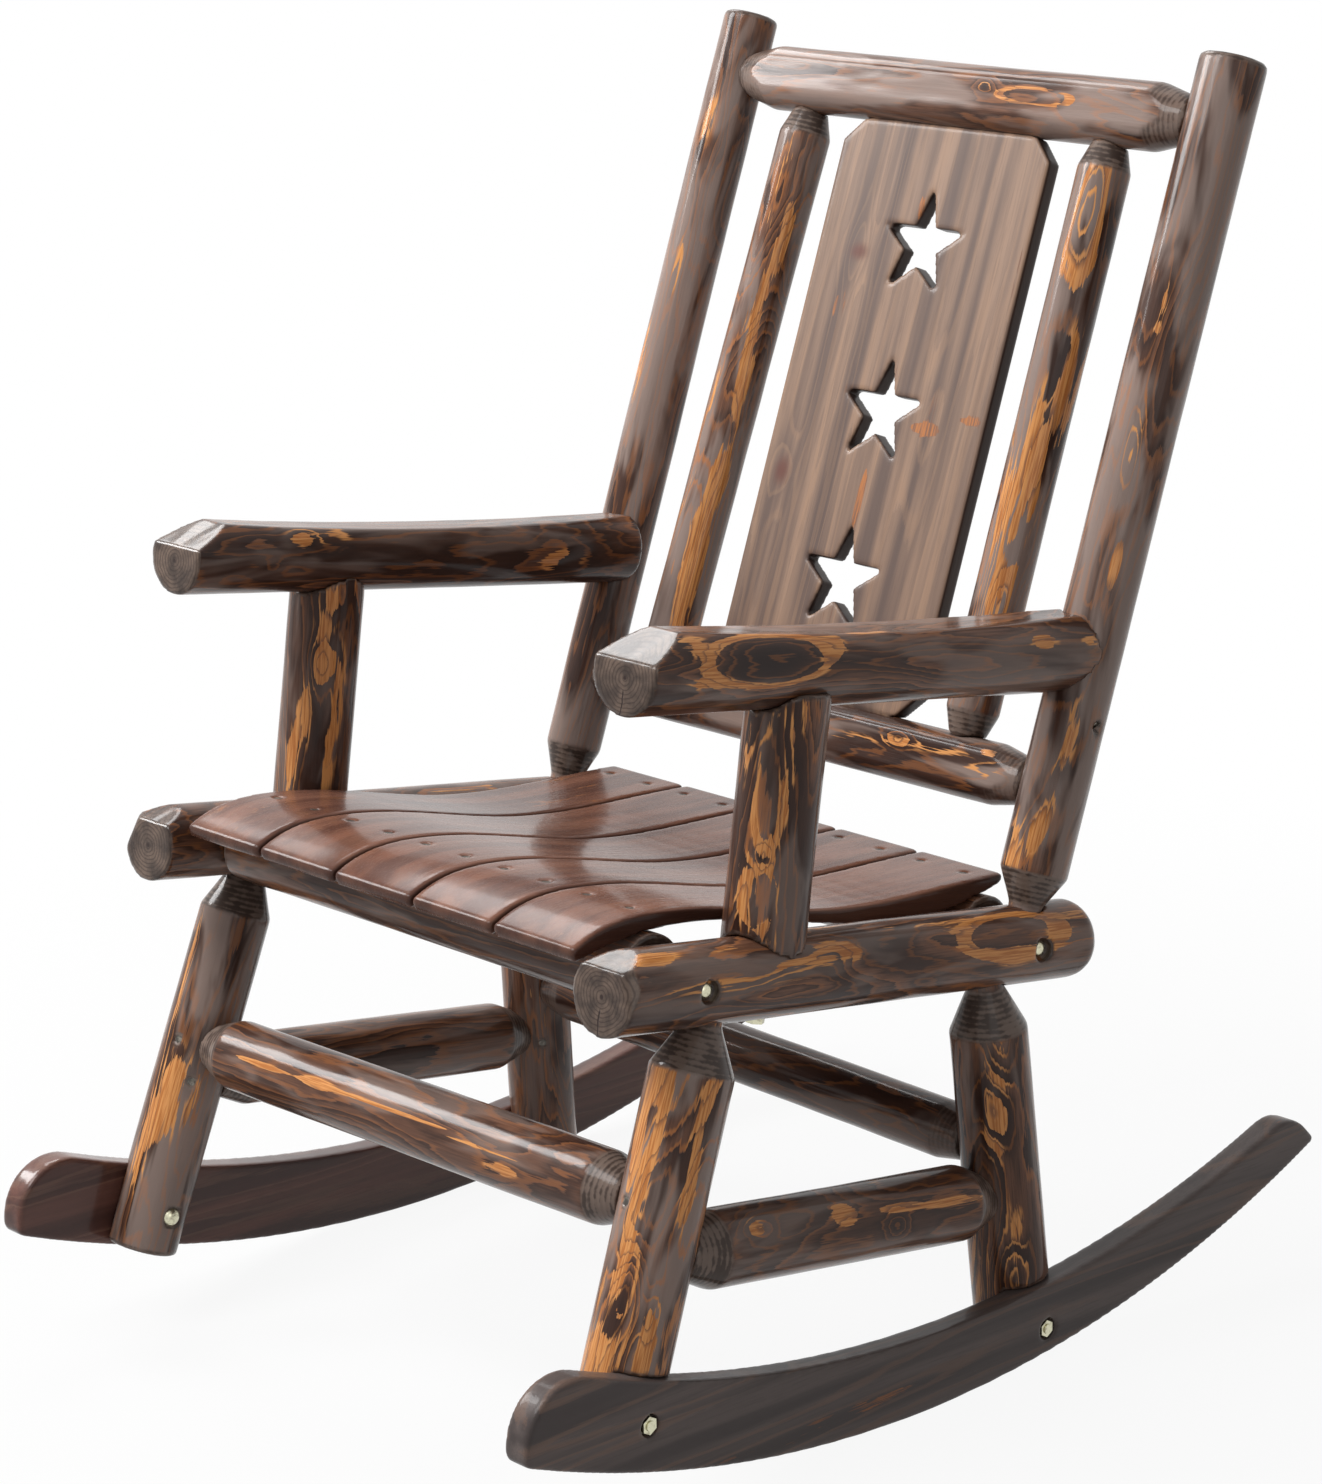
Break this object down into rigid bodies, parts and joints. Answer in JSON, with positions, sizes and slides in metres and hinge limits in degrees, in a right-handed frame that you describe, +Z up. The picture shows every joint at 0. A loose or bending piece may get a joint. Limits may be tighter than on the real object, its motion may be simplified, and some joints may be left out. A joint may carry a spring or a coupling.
{
  "type": "rocking chair",
  "caption": "Rocking chair of turned softwood logs with a slatted seat, round arms and a leaning back whose splat has cut-out stars, on two curved plank rockers.",
  "frame": {"origin": "on the floor under the middle of the chair's length and width, standing at rest on its rockers", "axes": "+X towards the sitter's left, +Y behind the sitter, +Z up"},
  "size_m": [0.657, 0.9252, 1.0433],
  "materials": {
    "scorched_log": "scorched dark brown softwood with honey-orange flame streaks under a satin lacquer",
    "dark_plank": "dark grey-brown stained plank with a satin lacquer",
    "seat_plank": "dark red-brown stained plank with a semi-gloss lacquer",
    "back_plank": "brown stained plank with dark knots and a satin lacquer",
    "dowel_wood": "plain hardwood",
    "screw_steel": "dark plated wood screws",
    "zinc_steel": "bright zinc plate with a faint yellow-green tint"
  },
  "bodies": {
    "root": {"left_seat_rail": "scorched_log", "right_seat_rail": "scorched_log", "left_arm_post": "scorched_log", "right_arm_post": "scorched_log", "left_arm": "scorched_log", "right_arm": "scorched_log", "left_back_post": "scorched_log", "right_back_post": "scorched_log", "left_back_spindle": "scorched_log", "right_back_spindle": "scorched_log", "left_front_leg": "scorched_log", "right_front_leg": "scorched_log", "left_rear_leg": "scorched_log", "right_rear_leg": "scorched_log", "front_stretcher": "scorched_log", "rear_stretcher": "scorched_log", "left_stretcher": "scorched_log", "right_stretcher": "scorched_log", "front_cross_rail": "scorched_log", "rear_cross_rail": "scorched_log", "crest_rail": "scorched_log", "lower_back_rail": "scorched_log", "left_rocker": "dark_plank", "right_rocker": "dark_plank", "seat_slat_1": "seat_plank", "seat_slat_2": "seat_plank", "seat_slat_3": "seat_plank", "seat_slat_4": "seat_plank", "seat_slat_5": "seat_plank", "back_splat": "back_plank", "slat_screws": "screw_steel", "stretcher_screws": "screw_steel", "arm_toe_screws": "screw_steel", "rail_bolts": "zinc_steel", "rocker_bolts": "zinc_steel", "rocker_washers": "zinc_steel", "rocker_nuts": "zinc_steel", "arm_post_bolts": "zinc_steel", "arm_dowels": "dowel_wood"}
  },
  "joints": []
}
